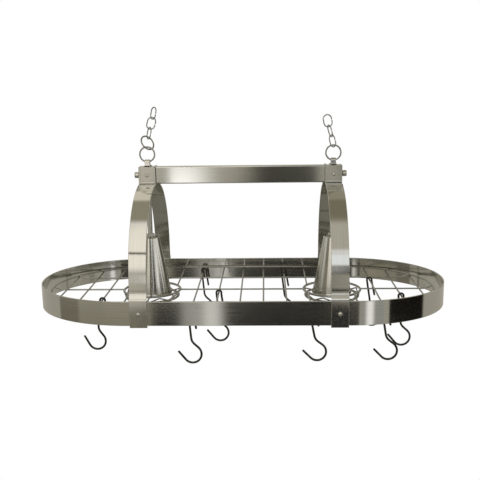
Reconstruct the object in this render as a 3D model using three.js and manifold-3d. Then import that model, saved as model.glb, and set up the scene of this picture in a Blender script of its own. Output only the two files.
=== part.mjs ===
// Hanging pot rack: an oval band with a wire grid in it, two arched straps, a crossbar,
// a cone downlight under each arch, open hooks, and the two chains that it hangs by.
// Millimetres, +Z up. X runs along the oval and Y from front to back. Heights are
// measured from the band's top edge, and the exported group then lowers the rack, so
// that the origin is the point it hangs from.

import * as THREE from "three";
import { mergeVertices } from "three/addons/utils/BufferGeometryUtils.js";
import Module from "manifold-3d";

const wasm = await Module();
wasm.setup();

// Driving dimensions of the rack
const RACK_LENGTH = 850;
const RACK_DEPTH = 362;
const HANG_HEIGHT = 345; // from the band's top edge up to the level where the chains end
const ARCH_X = 192.5; // both arches, lamps and chains stand at this distance from the middle
const GAP = 0.3; // between pieces that touch

// Band
const STRIP = 3; // thickness of the band and of the straps
const BAND_HEIGHT = 48;
const OVAL_STRAIGHT = 211; // half of the run of band that is straight, under both feet
const OVAL_POWER = 2.07; // the rounded ends are superellipses
const OVAL_STEPS = 10; // in a quarter of the oval

// Arched straps
const ARCH_WIDTH = 34;
const ARCH_TOP = 205;
const ARCH_POWER = 2.1;
const ARCH_STEPS = 12; // in half of an arch
const ARCH_FOOT = 20; // where the arch's curve starts
const ARCH_LAND = 16; // half the flat at the top of an arch
const JOGGLE_TOP = 14; // a foot steps out over the band between these two heights
const JOGGLE_BOTTOM = 3.5;
const FOOT_OVERHANG = 3; // below the band

// Rim screws and their nuts
const SCREW_RADIUS = 2;
const SCREW_HEAD_RADIUS = 4.5;
const SCREW_HEAD_RISE = 3.2;
const NUT_THICKNESS = 3;
const NUT_FLATS = 7;

// Wire grid
const GRID_WIRE = 3.4;
const GRID_PITCH = 46.9; // between cross wires
const GRID_LAYER = 3; // each layer of wires is sunk a little into the one above
const GRID_END_GAP = 20; // from the band's outer face to the middle of the oval wire
const GRID_SIDE_GAP = 8.5;
const LENGTHWISE_Y = 96;
const WIRE_BEND = 16; // over this length a lengthwise wire rises to the oval wire
const WIRE_LAP = 2; // at the welds in the middle of the oval wire
const LAMP_RING_RADIUS = 60;
const LAMP_RING_WIRE = 5;
const GUARD_RADIUS = 56;
const GUARD_DROP = 13;
const GUARD_STAY = 3;
const GUARD_WAVES = 8;

// Crossbar, brackets and tie rod
const BAR_HEIGHT = 36;
const BAR_DEPTH = 16;
const BAR_WALL = 1.6;
const BAR_CORNER = 2;
const BAR_RISE = 16.7; // from the arch's top to the middle of the bar
const BRACKET_LENGTH = 35;
const BRACKET_DEPTH = 26;
const BRACKET_HEIGHT = 34.2;
const BRACKET_FOOT = 2.2;
const BRACKET_FOOT_PROUD = 4;
const CHEEK = 3;
const CHEEK_PROUD = 1.5;
const SPIGOT = 12;
const TIE_ROD = 6;
const CAP_WASHER = 1.6;
const CAP_NUT_LENGTH = 8;
const CAP_NUT_RADIUS = 6.4;
const CAP_NUT_DEPTH = 6.6; // of its blind hole
const PLATE_SCREW_HEAD = 3.6;
const PLATE_SCREW_RISE = 2.4;

// Lamp
const STEM_RADIUS = 5.3;
const STEM_BORE = 3.6;
const STEM_IN_BRACKET = 8.5;
const STEM_IN_SHADE = 17;
const SHADE_TOP = 90;
const SHADE_HEIGHT = 122;
const SHADE_TOP_RADIUS = 18;
const SHADE_MOUTH_RADIUS = 42;
const SHADE_SLOPE = 0.189; // radius gained for each millimetre down
const SHADE_WALL = 1.2;
const SHADE_LIP = 6;
const SHADE_BEVEL = 1.5;
const HOLDER_RADIUS = 15;
const HOLDER_BORE = 13.3; // a household bulb's 26 mm screw
const HOLDER_LENGTH = 46.5;
const HOLDER_FLOOR = 3;
const SHELL_LENGTH = 24;
const SHELL_WALL = 0.6;
const SHELL_INSET = 2;
const LAMP_WASHER_RADIUS = 12.5;
const LAMP_WASHER = 1.2;
const LAMP_NUT_FLATS = 17;
const SHADE_NUT = 5;
const HOLDER_NUT = 4;
const ARCH_LOCKNUT = 3;

// Eye strap on a bracket
const EYE_WIDTH = 10.5;
const EYE_STRIP = 2;
const EYE_LEG = 4.2; // half the space between the middles of its legs
const EYE_FOOT = 10.5;
const EYE_FOOT_WIDTH = 15;
const EYE_RISE = 9.35; // from the bracket's top to the middle of the ring's wire

// Chain, measured to the middle of its wires
const RING_RADIUS = 15.35;
const RING_WIRE = 3.3;
const LINK_WIRE = 2.5;
const LINK_LENGTH = 24.7;
const LINK_RADIUS = 8.5;
const LINK_SEAM = 0.5;
const LINK_PLAY = 1; // between the wires of two links that pull on each other

// Hook, measured from the middle of the wire that it hangs on
const HOOK_WIRE = 4.4;
const HOOK_CROWN = 5.2;
const HOOK_LIP_X = 9.2; // the short leg's free end
const HOOK_LIP_Z = -38;
const HOOK_STEM_X = -1.5; // where the long leg starts to bend
const HOOK_STEM_Z = -55;
const HOOK_NECK_Z = -72;
const HOOK_BOWL = 17.5;
const HOOK_BOWL_Z = -89;
const HOOK_TIP = 23;
const HOOK_TIP_ANGLE = -142;

// Each hook hangs on a cross wire, counted from the middle one. along is its place on
// that wire, from -1 at the front end to 1 at the back end, and lean its turn about it.
const HOOKS = [
  { name: "pot_hook_front_1", crossWire: -6, along: -0.55, lean: 10 },
  { name: "pot_hook_front_2", crossWire: -2, along: -0.94, lean: -1 },
  { name: "pot_hook_front_3", crossWire: 3, along: -0.88, lean: -7 },
  { name: "pot_hook_front_4", crossWire: 6, along: -0.9, lean: -6 },
  { name: "pot_hook_middle_1", crossWire: -1, along: -0.2, lean: -1 },
  { name: "pot_hook_middle_2", crossWire: 7, along: -0.45, lean: -2 },
  { name: "pot_hook_back_1", crossWire: -2, along: 0.91, lean: -1 },
  { name: "pot_hook_back_2", crossWire: 2, along: 0.841, lean: -3 },
  { name: "pot_hook_back_3", crossWire: 6, along: 0.4, lean: -5 },
];

// Sizes that follow from those above
const RIM_SCREW_Z = -BAND_HEIGHT / 2;
const FOOT_Y = RACK_DEPTH / 2 + GAP + STRIP / 2; // middle of the strap's thickness at its foot
const SCREW_HOLE = SCREW_RADIUS + GAP;
const GRID_LENGTH = RACK_LENGTH - 2 * GRID_END_GAP;
const GRID_DEPTH = RACK_DEPTH - 2 * GRID_SIDE_GAP;
const GRID_Z = RIM_SCREW_Z + SCREW_RADIUS + GAP + GRID_WIRE / 2; // its oval wire lies on the screws
const CROSS_Z = GRID_Z - GRID_LAYER;
const LENGTHWISE_Z = GRID_Z - 2 * GRID_LAYER;
const BAR_Z = ARCH_TOP + BAR_RISE;
const BAR_END = ARCH_X - BRACKET_LENGTH / 2 - GAP;
const BRACKET_BASE = ARCH_TOP + GAP;
const BRACKET_TOP = BRACKET_BASE + BRACKET_HEIGHT;
const BRACKET_FACE = ARCH_X + BRACKET_LENGTH / 2;
const STEM_HOLE = STEM_RADIUS + GAP;
const EYE_BASE = BRACKET_TOP + GAP;
const RING_Z = EYE_BASE + EYE_RISE + RING_RADIUS;

function metal(color, roughness) {
  return new THREE.MeshStandardMaterial({ color, roughness, metalness: 1 });
}

const satin = () => metal(0x9a978e, 0.36);
const polished = () => metal(0xa9a8a2, 0.22);
const dark = () => metal(0x4a4a46, 0.3);
const brass = () => metal(0xb08d4a, 0.35);
const moulded = () => new THREE.MeshStandardMaterial({ color: 0xd9d6cc, roughness: 0.4 });

// A path through stations, swept from one to the next with a mitre at each.
class Stations extends THREE.Curve {
  constructor(points) {
    super();
    this.points = points;
  }

  getPoint(t) {
    const place = t * (this.points.length - 1);
    const index = Math.min(Math.floor(place), this.points.length - 2);
    return this.points[index].clone().lerp(this.points[index + 1], place - index);
  }

  getPointAt(t) {
    return this.getPoint(t);
  }

  getTangentAt(t) {
    const index = Math.round(t * (this.points.length - 1));
    const tangent = new THREE.Vector3();
    if (index > 0) tangent.add(this.step(index - 1));
    if (index < this.points.length - 1) tangent.add(this.step(index));
    return tangent.normalize();
  }

  step(index) {
    return this.points[index + 1].clone().sub(this.points[index]).normalize();
  }
}

function wire(points, diameter, sides = 6) {
  const section = new THREE.Shape().absarc(0, 0, diameter / 2, 0, 2 * Math.PI);
  return new THREE.ExtrudeGeometry(section, {
    curveSegments: sides / 2,
    steps: points.length - 1,
    bevelEnabled: false,
    extrudePath: new Stations(points),
  });
}

function rod(radius, length, axis, sides = 12) {
  const geometry = new THREE.CylinderGeometry(radius, radius, length, sides);
  if (axis === "x") geometry.rotateZ(-Math.PI / 2);
  if (axis === "z") geometry.rotateX(Math.PI / 2);
  return geometry;
}

// A shape drawn in Y and Z, extruded along X from a place on it.
function alongX(shape, from, to) {
  const options = { depth: to - from, bevelEnabled: false, curveSegments: 3 };
  const geometry = new THREE.ExtrudeGeometry(shape, options);
  const yAxis = new THREE.Vector3(0, 1, 0);
  const zAxis = new THREE.Vector3(0, 0, 1);
  const xAxis = new THREE.Vector3(1, 0, 0);
  geometry.translate(0, 0, from);
  return geometry.applyMatrix4(new THREE.Matrix4().makeBasis(yAxis, zAxis, xAxis));
}

// A shape drawn in X and Y, extruded upwards.
function upwards(shape, bottom, top) {
  const options = { depth: top - bottom, bevelEnabled: false, curveSegments: 3 };
  return new THREE.ExtrudeGeometry(shape, options).translate(0, 0, bottom);
}

// A closed profile of [radius, height] turned about Z, anticlockwise so that it faces out.
function turned(profile, segments = 16) {
  const points = profile.map(([radius, height]) => new THREE.Vector2(radius, height));
  if (THREE.ShapeUtils.area(points) < 0) points.reverse();
  points.push(points[0].clone());
  return new THREE.LatheGeometry(points, segments).rotateX(Math.PI / 2);
}

function tubeProfile(outer, inner, bottom, top) {
  return [[inner, bottom], [outer, bottom], [outer, top], [inner, top]];
}

// A hexagonal nut that stands on Z = 0.
function hexNut(acrossFlats, height, boreRadius) {
  const nut = rod(acrossFlats / Math.sqrt(3), height, "z", 6);
  return cut(nut, rod(boreRadius, 2 * height, "z")).translate(0, 0, height / 2);
}

function solidOf(geometry) {
  const bare = geometry.clone();
  bare.deleteAttribute("normal");
  bare.deleteAttribute("uv");
  const merged = mergeVertices(bare, 1e-4);
  return new wasm.Manifold(
    new wasm.Mesh({
      numProp: 3,
      vertProperties: merged.attributes.position.array,
      triVerts: new Uint32Array(merged.index.array),
    }),
  );
}

function geometryOf(solid) {
  const { vertProperties, triVerts } = solid.getMesh();
  const geometry = new THREE.BufferGeometry();
  geometry.setAttribute("position", new THREE.BufferAttribute(vertProperties, 3));
  geometry.setIndex(new THREE.BufferAttribute(triVerts, 1));
  geometry.computeVertexNormals();
  return geometry;
}

function join(...geometries) {
  return geometryOf(geometries.map(solidOf).reduce((whole, piece) => whole.add(piece)));
}

function cut(geometry, ...tools) {
  const whole = solidOf(geometry);
  return geometryOf(tools.map(solidOf).reduce((rest, tool) => rest.subtract(tool), whole));
}

const rack = new THREE.Group();

function add(name, geometry, material) {
  const mesh = new THREE.Mesh(geometry, material);
  mesh.name = name;
  rack.add(mesh);
  return mesh;
}

// The right half of an oval, from the middle of the front to the middle of the back.
// inset moves it inwards, square to the curve.
function halfOval(length, depth, inset = 0) {
  const reach = length / 2 - OVAL_STRAIGHT;
  const halfDepth = depth / 2;
  const power = 2 / OVAL_POWER;
  const points = [new THREE.Vector2(0, inset - halfDepth)];
  for (let i = -OVAL_STEPS; i <= OVAL_STEPS; i++) {
    const angle = ((i / OVAL_STEPS) * Math.PI) / 2;
    const cosine = Math.max(Math.cos(angle), 0);
    const sine = Math.abs(Math.sin(angle));
    const normal = new THREE.Vector2(
      cosine ** (2 - power) / reach,
      (Math.sign(i) * sine ** (2 - power)) / halfDepth,
    ).normalize();
    const edge = new THREE.Vector2(
      OVAL_STRAIGHT + reach * cosine ** power,
      Math.sign(i) * halfDepth * sine ** power,
    );
    points.push(edge.addScaledVector(normal, -inset));
  }
  points.push(new THREE.Vector2(0, halfDepth - inset));
  return points;
}

function wholeOval(length, depth, inset) {
  const right = halfOval(length, depth, inset);
  const left = right.slice(1, -1).map((point) => new THREE.Vector2(-point.x, -point.y));
  return [...right.slice(0, -1), right.at(-1), ...left];
}

// How far the oval reaches along one axis at a place on the other.
function ovalDepthAt(x, length, depth) {
  const along = Math.max(Math.abs(x) - OVAL_STRAIGHT, 0) / (length / 2 - OVAL_STRAIGHT);
  return (depth / 2) * (1 - along ** OVAL_POWER) ** (1 / OVAL_POWER);
}

function ovalLengthAt(y, length, depth) {
  const across = Math.abs(y) / (depth / 2);
  return OVAL_STRAIGHT + (length / 2 - OVAL_STRAIGHT) * (1 - across ** OVAL_POWER) ** (1 / OVAL_POWER);
}

function rimBand() {
  const outline = new THREE.Shape(wholeOval(RACK_LENGTH, RACK_DEPTH, 0));
  outline.holes.push(new THREE.Path(wholeOval(RACK_LENGTH, RACK_DEPTH, STRIP)));
  const holes = [-ARCH_X, ARCH_X].map((x) => {
    return rod(SCREW_HOLE, 2 * RACK_DEPTH, "y").translate(x, 0, RIM_SCREW_Z);
  });
  add("rim_band", cut(upwards(outline, -BAND_HEIGHT, 0), ...holes), satin());
}

// The outline of a strip of even thickness along a centre line in Y and Z.
function stripShape(centre, thickness) {
  const path = new Stations(centre.map(([y, z]) => new THREE.Vector3(y, z, 0)));
  const side = (offset) =>
    path.points.map((point, index) => {
      const tangent = path.getTangentAt(index / (path.points.length - 1));
      return new THREE.Vector2(point.x - offset * tangent.y, point.y + offset * tangent.x);
    });
  return new THREE.Shape([...side(-thickness / 2), ...side(thickness / 2).reverse()]);
}

function archCentreLine() {
  const legY = RACK_DEPTH / 2 - STRIP - STRIP / 2;
  const rise = ARCH_TOP - STRIP / 2 - ARCH_FOOT;
  const half = [[FOOT_Y, -BAND_HEIGHT - FOOT_OVERHANG], [FOOT_Y, JOGGLE_BOTTOM], [legY, JOGGLE_TOP]];
  for (let i = 0; i < ARCH_STEPS; i++) {
    const angle = ((i / ARCH_STEPS) * Math.PI) / 2;
    const y = legY * Math.cos(angle) ** (2 / ARCH_POWER);
    half.push([y, ARCH_FOOT + rise * Math.sin(angle) ** (2 / ARCH_POWER)]);
  }
  const shoulder = half.filter(([y]) => y > ARCH_LAND);
  shoulder.push([ARCH_LAND, ARCH_TOP - STRIP / 2]);
  return [...shoulder, ...shoulder.map(([y, z]) => [-y, z]).reverse()];
}

function arch(name, x) {
  const strap = alongX(stripShape(archCentreLine(), STRIP), -ARCH_WIDTH / 2, ARCH_WIDTH / 2);
  const stemHole = rod(STEM_HOLE, ARCH_TOP / 2, "z").translate(0, 0, ARCH_TOP);
  const screwHoles = rod(SCREW_HOLE, 2 * RACK_DEPTH, "y").translate(0, 0, RIM_SCREW_Z);
  add(name, cut(strap, stemHole, screwHoles), satin()).position.x = x;
}

// A domed head's profile from its edge to its crown, with the seat at Z = 0.
function domedHead(radius, rise) {
  return [[radius, 0], [0.87 * radius, -0.44 * rise], [0.49 * radius, -0.84 * rise], [0, -rise]];
}

// A dome-head screw through the strap's foot and the band. Its end carries the grid.
function rimScrew(name, x, side) {
  const headBase = FOOT_Y + STRIP / 2 + GAP;
  const shank = headBase - (GRID_DEPTH / 2 - GRID_WIRE);
  const head = domedHead(SCREW_HEAD_RADIUS, SCREW_HEAD_RISE);
  const screw = turned([[0, shank], [SCREW_RADIUS, shank], [SCREW_RADIUS, 0], ...head], 12);
  const mesh = add(name, screw, polished());
  mesh.rotation.x = (side * Math.PI) / 2;
  mesh.position.set(x, side * headBase, RIM_SCREW_Z);
}

function rimNut(name, x, side) {
  const mesh = add(name, hexNut(NUT_FLATS, NUT_THICKNESS, SCREW_HOLE), satin());
  mesh.rotation.x = (side * Math.PI) / 2;
  mesh.position.set(x, side * (RACK_DEPTH / 2 - STRIP - GAP), RIM_SCREW_Z);
}

function straight(from, to, diameter = GRID_WIRE) {
  return wire([new THREE.Vector3(...from), new THREE.Vector3(...to)], diameter);
}

function gridEdge(side) {
  const half = halfOval(GRID_LENGTH, GRID_DEPTH);
  half[0].x = -WIRE_LAP;
  half.at(-1).x = -WIRE_LAP;
  const points = half.map(({ x, y }) => new THREE.Vector3(side * x, side * y, GRID_Z));
  return wire(points, GRID_WIRE);
}

function crossWires() {
  const z = CROSS_Z;
  const last = Math.floor((GRID_LENGTH / 2 - GRID_WIRE) / GRID_PITCH);
  const wires = [];
  for (let i = -last; i <= last; i++) {
    const x = i * GRID_PITCH;
    const end = ovalDepthAt(x, GRID_LENGTH, GRID_DEPTH);
    const fromLamp = Math.abs(Math.abs(x) - ARCH_X);
    if (fromLamp > LAMP_RING_RADIUS) {
      wires.push(straight([x, -end, z], [x, end, z]));
      continue;
    }
    const start = Math.sqrt(LAMP_RING_RADIUS ** 2 - fromLamp ** 2);
    wires.push(straight([x, -end, z], [x, -start, z]));
    wires.push(straight([x, start, z], [x, end, z]));
  }
  return wires;
}

// The run of a lengthwise wire under the cross wires, to an end that rises to the oval wire.
function wireEnd(side, y) {
  const end = ovalLengthAt(y, GRID_LENGTH, GRID_DEPTH);
  return [[end - WIRE_BEND, LENGTHWISE_Z], [end, GRID_Z]].map(([x, z]) => {
    return new THREE.Vector3(side * x, y, z);
  });
}

function wireGrid() {
  const pieces = [gridEdge(1), gridEdge(-1), ...crossWires()];
  for (const y of [-LENGTHWISE_Y, LENGTHWISE_Y]) {
    pieces.push(wire([...wireEnd(-1, y).reverse(), ...wireEnd(1, y)], GRID_WIRE));
  }
  const nearRing = ARCH_X - LAMP_RING_RADIUS;
  const farRing = ARCH_X + LAMP_RING_RADIUS;
  pieces.push(straight([-nearRing, 0, LENGTHWISE_Z], [nearRing, 0, LENGTHWISE_Z]));
  for (const side of [-1, 1]) {
    const start = new THREE.Vector3(side * farRing, 0, LENGTHWISE_Z);
    pieces.push(wire([start, ...wireEnd(side, 0)], GRID_WIRE));
    const ring = new THREE.TorusGeometry(LAMP_RING_RADIUS, LAMP_RING_WIRE / 2, 6, 28);
    pieces.push(ring.translate(side * ARCH_X, 0, LENGTHWISE_Z));
  }
  add("wire_grid", join(...pieces), polished());
}

// The lower ring around a lamp's mouth and the zig-zag stays that stand on it.
function lampGuard(name, x) {
  const low = LENGTHWISE_Z - GUARD_DROP;
  const high = LENGTHWISE_Z - (LAMP_RING_WIRE + GUARD_STAY) / 2 - GAP;
  const corner = (index) => {
    const angle = (index * Math.PI) / GUARD_WAVES;
    const [radius, z] = index % 2 ? [LAMP_RING_RADIUS, high] : [GUARD_RADIUS, low];
    return new THREE.Vector3(radius * Math.cos(angle), radius * Math.sin(angle), z);
  };
  const pieces = [new THREE.TorusGeometry(GUARD_RADIUS, LAMP_RING_WIRE / 2, 6, 24).translate(0, 0, low)];
  for (let i = 0; i < 2 * GUARD_WAVES; i++) {
    pieces.push(wire([corner(i), corner(i + 1)], GUARD_STAY, 4));
  }
  add(name, join(...pieces), polished()).position.x = x;
}

function roundedBox(width, height, radius) {
  const shape = new THREE.Shape();
  const x = width / 2 - radius;
  const y = height / 2 - radius;
  shape.absarc(x, y, radius, 0, Math.PI / 2);
  shape.absarc(-x, y, radius, Math.PI / 2, Math.PI);
  shape.absarc(-x, -y, radius, Math.PI, 1.5 * Math.PI);
  shape.absarc(x, -y, radius, 1.5 * Math.PI, 2 * Math.PI);
  return shape;
}

function crossbar() {
  const section = roundedBox(BAR_DEPTH, BAR_HEIGHT, BAR_CORNER);
  const [depth, height] = [BAR_DEPTH - 2 * BAR_WALL, BAR_HEIGHT - 2 * BAR_WALL];
  section.holes.push(roundedBox(depth, height, BAR_CORNER - BAR_WALL));
  add("crossbar", alongX(section, -BAR_END, BAR_END), satin()).position.z = BAR_Z;
}

// The block seen from above, about its own middle: its end cheeks stand proud of its faces.
function blockOutline() {
  const end = BRACKET_LENGTH / 2;
  const half = BRACKET_DEPTH / 2;
  const proud = half + CHEEK_PROUD;
  const quarter = [[end, proud], [end - CHEEK, proud], [end - CHEEK, half]];
  const front = [...quarter, ...quarter.map(([x, y]) => [-x, y]).reverse()];
  const outline = [...front, ...front.map(([x, y]) => [-x, -y])];
  return new THREE.Shape(outline.map((point) => new THREE.Vector2(...point)));
}

// A block on the arch's top. Its spigot fills the bar's end, and side is -1 or 1.
function barBracket(name, side) {
  const footDepth = BRACKET_DEPTH + 2 * BRACKET_FOOT_PROUD;
  const foot = roundedBox(BRACKET_LENGTH, footDepth, BRACKET_FOOT / 2);
  const bore = 2 * (BAR_WALL + GAP);
  const spigot = roundedBox(BAR_DEPTH - bore, BAR_HEIGHT - bore, BAR_CORNER - BAR_WALL);
  const inner = -BRACKET_LENGTH / 2;
  const body = join(
    upwards(blockOutline(), BRACKET_BASE, BRACKET_TOP),
    upwards(foot, BRACKET_BASE, BRACKET_BASE + BRACKET_FOOT),
    alongX(spigot, inner - SPIGOT, inner + CHEEK).translate(0, 0, BAR_Z),
  );
  const stemHole = rod(STEM_HOLE, 2 * (STEM_IN_BRACKET + GAP), "z").translate(0, 0, ARCH_TOP);
  const screwReach = BRACKET_DEPTH - TIE_ROD;
  const geometry = cut(
    body,
    rod(TIE_ROD / 2 + GAP, RACK_DEPTH, "x").translate(0, 0, BAR_Z),
    stemHole,
    rod(SCREW_HOLE, screwReach, "y").translate(0, -side * BRACKET_DEPTH / 2, BAR_Z),
  );
  const mesh = add(name, geometry, satin());
  mesh.rotation.z = side > 0 ? 0 : Math.PI;
  mesh.position.x = side * ARCH_X;
}

function tieRod() {
  const end = BRACKET_FACE + CAP_WASHER + 2 * GAP + CAP_NUT_DEPTH - TIE_ROD / 3;
  add("tie_rod", rod(TIE_ROD / 2, 2 * end, "x"), dark()).position.z = BAR_Z;
}

// The washer and blind cap nut on an end of the tie rod.
function rodEnd(name, side) {
  const hole = TIE_ROD / 2 + GAP;
  const shoulder = 0.65 * CAP_NUT_LENGTH;
  const washer = turned(tubeProfile(CAP_NUT_RADIUS, hole, 0, CAP_WASHER));
  const nut = turned([
    [hole, 0],
    [CAP_NUT_RADIUS, 0],
    [CAP_NUT_RADIUS, shoulder],
    [0.72 * CAP_NUT_RADIUS, CAP_NUT_LENGTH],
    [0, CAP_NUT_LENGTH],
    [0, CAP_NUT_DEPTH],
    [hole, CAP_NUT_DEPTH],
  ]);
  const face = BRACKET_FACE + GAP;
  const thread = (label, geometry, x) => {
    const mesh = add(`${label}_${name}`, geometry, dark());
    mesh.rotation.y = (side * Math.PI) / 2;
    mesh.position.set(side * x, 0, BAR_Z);
  };
  thread("cap_washer", washer, face);
  thread("cap_nut", nut, face + CAP_WASHER + GAP);
}

function bracketScrew(name, side) {
  const shank = BRACKET_DEPTH / 2 - TIE_ROD / 2 - 4 * GAP;
  const head = domedHead(PLATE_SCREW_HEAD, PLATE_SCREW_RISE);
  const screw = turned([[0, shank], [SCREW_RADIUS, shank], [SCREW_RADIUS, 0], ...head], 12);
  const mesh = add(name, screw, polished());
  mesh.rotation.x = -Math.PI / 2;
  mesh.position.set(side * ARCH_X, -BRACKET_DEPTH / 2 - GAP, BAR_Z);
}

// An inverted U of strip whose feet spread on the bracket. The ring's wire passes under it
// along X, and its crown clears that wire where it curves up beside the strip.
function eyeStrap(name, x) {
  const half = EYE_STRIP / 2;
  const curvedUp = RING_RADIUS - Math.sqrt(RING_RADIUS ** 2 - (EYE_WIDTH / 2) ** 2);
  const crownTop = EYE_BASE + EYE_RISE + RING_WIRE / 2 + curvedUp + GAP + half;
  const arcZ = crownTop - EYE_LEG;
  const centre = [[EYE_FOOT, EYE_BASE + half], [EYE_LEG + half, EYE_BASE + half]];
  centre.push([EYE_LEG, EYE_BASE + EYE_STRIP]);
  const arcSteps = 6;
  for (let i = 0; i <= arcSteps / 2; i++) {
    const angle = (i / arcSteps) * Math.PI;
    centre.push([EYE_LEG * Math.cos(angle), arcZ + EYE_LEG * Math.sin(angle)]);
  }
  const mirrored = centre.slice(0, -1).map(([y, z]) => [-y, z]);
  const outline = stripShape([...centre, ...mirrored.reverse()], EYE_STRIP);
  const strap = alongX(outline, -EYE_WIDTH / 2, EYE_WIDTH / 2);
  const pad = roundedBox(EYE_FOOT_WIDTH, EYE_FOOT - EYE_LEG - EYE_STRIP, half);
  const feet = [-1, 1].map((side) => {
    const middle = (side * (EYE_FOOT + EYE_LEG + EYE_STRIP)) / 2;
    return upwards(pad, EYE_BASE, EYE_BASE + EYE_STRIP).translate(0, middle, 0);
  });
  add(name, join(strap, ...feet), satin()).position.x = x;
}

function lampShade(name, x) {
  const radiusAt = (z) => SHADE_TOP_RADIUS + SHADE_SLOPE * (SHADE_TOP - z);
  const bottom = SHADE_TOP - SHADE_HEIGHT;
  const lip = bottom + SHADE_LIP;
  const inside = SHADE_TOP - SHADE_WALL;
  const shade = turned([
    [STEM_HOLE, SHADE_TOP],
    [STEM_HOLE, inside],
    [radiusAt(inside) - SHADE_WALL, inside],
    [radiusAt(lip) - SHADE_WALL, lip],
    [SHADE_MOUTH_RADIUS - SHADE_WALL, bottom],
    [SHADE_MOUTH_RADIUS, bottom],
    [radiusAt(lip), lip],
    [radiusAt(SHADE_TOP - SHADE_BEVEL), SHADE_TOP - SHADE_BEVEL],
    [SHADE_TOP_RADIUS - SHADE_BEVEL, SHADE_TOP],
  ], 28);
  add(name, shade, satin()).position.x = x;
}

// The stem from the arch into the shade, with what is threaded on it from the top down.
function lampStem(name, x) {
  const stand = (label, geometry, material, z) => {
    add(`${label}_${name}`, geometry, material).position.set(x, 0, z);
  };
  const stemTop = ARCH_TOP + STEM_IN_BRACKET;
  const stem = turned(tubeProfile(STEM_RADIUS, STEM_BORE, SHADE_TOP - STEM_IN_SHADE, stemTop));
  stand("lamp_stem", stem, satin(), 0);
  const locknut = hexNut(LAMP_NUT_FLATS, ARCH_LOCKNUT, STEM_HOLE);
  stand("arch_locknut", locknut, satin(), ARCH_TOP - STRIP - GAP - ARCH_LOCKNUT);
  const washerZ = SHADE_TOP + GAP;
  const washer = turned(tubeProfile(LAMP_WASHER_RADIUS, STEM_HOLE, 0, LAMP_WASHER), 20);
  stand("shade_washer", washer, satin(), washerZ);
  const shadeNut = hexNut(LAMP_NUT_FLATS, SHADE_NUT, STEM_HOLE);
  stand("shade_nut", shadeNut, satin(), washerZ + LAMP_WASHER + GAP);
  const holderTop = SHADE_TOP - SHADE_WALL - GAP;
  const floor = holderTop - HOLDER_FLOOR;
  const holder = turned([
    [STEM_HOLE, 0],
    [STEM_HOLE, -HOLDER_FLOOR],
    [HOLDER_BORE, -HOLDER_FLOOR],
    [HOLDER_BORE, -HOLDER_LENGTH],
    [HOLDER_RADIUS, -HOLDER_LENGTH],
    [HOLDER_RADIUS, 0],
  ]);
  stand("lamp_holder", holder, moulded(), holderTop);
  const holderNut = hexNut(LAMP_NUT_FLATS, HOLDER_NUT, STEM_HOLE);
  stand("holder_nut", holderNut, brass(), floor - GAP - HOLDER_NUT);
  const shellRadius = HOLDER_BORE - GAP;
  const shell = turned(tubeProfile(shellRadius, shellRadius - SHELL_WALL, 0, SHELL_LENGTH));
  stand("screw_shell", shell, brass(), holderTop - HOLDER_LENGTH + SHELL_INSET);
}

// A link lies in X and Z, and its seam is in the middle of one side.
function linkGeometry() {
  const straightHalf = LINK_LENGTH / 2 - LINK_RADIUS;
  const steps = 6;
  const bow = (side) =>
    Array.from({ length: steps + 1 }, (_, index) => {
      const angle = (index / steps) * Math.PI;
      const x = side * LINK_RADIUS * Math.cos(angle);
      return new THREE.Vector3(x, 0, side * (straightHalf + LINK_RADIUS * Math.sin(angle)));
    });
  const start = new THREE.Vector3(LINK_RADIUS, 0, LINK_SEAM / 2);
  const end = new THREE.Vector3(LINK_RADIUS, 0, -LINK_SEAM / 2);
  return wire([start, ...bow(1), ...bow(-1), end], LINK_WIRE);
}

function ringGeometry() {
  return new THREE.TorusGeometry(RING_RADIUS, RING_WIRE / 2, 6, 20).rotateX(Math.PI / 2);
}

const degrees = THREE.MathUtils.degToRad;

// Hangs a ring or link in the piece below it and gives the next one its start. lean turns
// it about Y, tilt about X and twist about its own length.
function hang(name, geometry, size, below, { lean = 0, tilt = 0, twist = 0 }) {
  const mesh = add(name, geometry, polished());
  mesh.rotation.set(degrees(tilt), degrees(lean), degrees(twist), "YXZ");
  const direction = new THREE.Vector3(0, 0, 1).applyEuler(mesh.rotation);
  const nest = (size.wire + below.wire) / 2 + LINK_PLAY;
  mesh.position.copy(below.top).addScaledVector(direction, size.length / 2 - nest);
  const top = mesh.position.clone().addScaledVector(direction, size.length / 2);
  return { top, wire: size.wire };
}

const RING_SIZE = { length: 2 * RING_RADIUS, wire: RING_WIRE };
const LINK_SIZE = { length: LINK_LENGTH, wire: LINK_WIRE };

function strapRing(name, x) {
  add(name, ringGeometry(), polished()).position.set(x, 0, RING_Z);
  return { top: new THREE.Vector3(x, 0, RING_Z + RING_RADIUS), wire: RING_WIRE };
}

function chains() {
  let end = strapRing("strap_ring_left", -ARCH_X);
  end = hang("chain_ring_left", ringGeometry(), RING_SIZE, end, { tilt: -44, twist: 41, lean: 2 });
  end = hang("chain_link_left_1", linkGeometry(), LINK_SIZE, end, { lean: 14, tilt: 4, twist: -58 });
  end = hang("chain_link_left_2", linkGeometry(), LINK_SIZE, end, { lean: 16, twist: 22 });
  hang("chain_link_left_3", linkGeometry(), LINK_SIZE, end, { lean: 12, twist: -48 });
  end = strapRing("strap_ring_right", ARCH_X);
  end = hang("chain_link_right_1", linkGeometry(), LINK_SIZE, end, { lean: -14, twist: 46 });
  end = hang("chain_link_right_2", linkGeometry(), LINK_SIZE, end, { lean: -15, twist: -72 });
  hang("chain_link_right_3", linkGeometry(), LINK_SIZE, end, { lean: -12, twist: 8 });
}

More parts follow.
